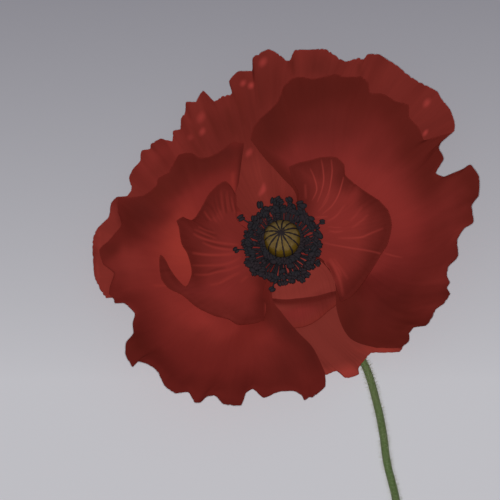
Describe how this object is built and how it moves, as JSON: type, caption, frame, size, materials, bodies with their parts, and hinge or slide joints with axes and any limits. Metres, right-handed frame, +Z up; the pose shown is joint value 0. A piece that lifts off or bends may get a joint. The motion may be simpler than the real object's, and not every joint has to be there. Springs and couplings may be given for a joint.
{
  "type": "poppy flower",
  "caption": "Red poppy bloom lying face up, with ruffled petals in layers, a dark ring of stamens, a rayed capsule and a cut stem along the surface.",
  "frame": {"origin": "on the surface that the flower lies on, under the middle of its whole box", "axes": "+Z up out of the open bloom, -Y along the cut stem, +X to the bloom's right as seen from the stem's end"},
  "size_m": [0.0928, 0.1474, 0.0202],
  "materials": {
    "petal_rear": "soft matte petal, brownish red",
    "petal_front": "soft matte petal, deep red, darker at the margin",
    "petal_inner": "soft matte petal, deep red with fine streaks",
    "stamen": "matte, near black",
    "capsule": "matte, khaki with dark rays",
    "stem": "matte green with fine hairs"
  },
  "bodies": {
    "root": {"petal_rear_upper": "petal_rear", "petal_rear_lower": "petal_rear", "petal_lower_small": "petal_inner", "petal_right": "petal_front", "petal_left": "petal_front", "petal_inner_right": "petal_inner", "petal_inner_left": "petal_inner", "stamens": "stamen", "capsule": "capsule", "stem": "stem"}
  },
  "joints": []
}
